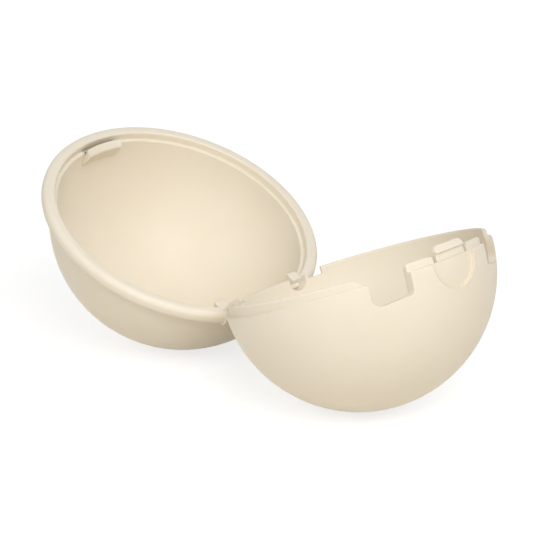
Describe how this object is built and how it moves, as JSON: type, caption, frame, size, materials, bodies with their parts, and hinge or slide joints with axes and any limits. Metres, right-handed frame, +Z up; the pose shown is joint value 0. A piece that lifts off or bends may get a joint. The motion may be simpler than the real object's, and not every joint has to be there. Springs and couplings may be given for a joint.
{
  "type": "pacifier case",
  "caption": "Round two-bowl hinged case for pacifiers, open, with a snap latch, strap notches and a thumb recess.",
  "frame": {"origin": "on the table under the middle of the open case, between the two bowls", "axes": "+X from the lid bowl to the base bowl with the latch, Y along the hinge line, +Z up from the table"},
  "size_m": [0.1596, 0.09, 0.061],
  "materials": {
    "base_plastic": "fine satin",
    "lid_plastic": "fine satin",
    "latch_plastic": "fine satin",
    "pin_plastic": "fine satin"
  },
  "bodies": {
    "base": {"base_shell": "base_plastic", "hinge_pin_left": "pin_plastic", "hinge_pin_right": "pin_plastic"},
    "lid": {"lid_shell": "lid_plastic"},
    "latch": {"latch_tongue": "latch_plastic"}
  },
  "joints": [
    {"name": "lid_hinge", "type": "hinge", "parent": "base", "child": "lid", "pos_m": [0.0001, 0, 0.02495], "axis": [0, 1, 0], "range_deg": [0, 132.5]},
    {"name": "latch_flex", "type": "hinge", "parent": "base", "child": "latch", "pos_m": [0.0741, 0, 0.05626], "axis": [0, -1, 0], "range_deg": [0, 11], "stiffness_Nm_per_rad": 0.05}
  ]
}
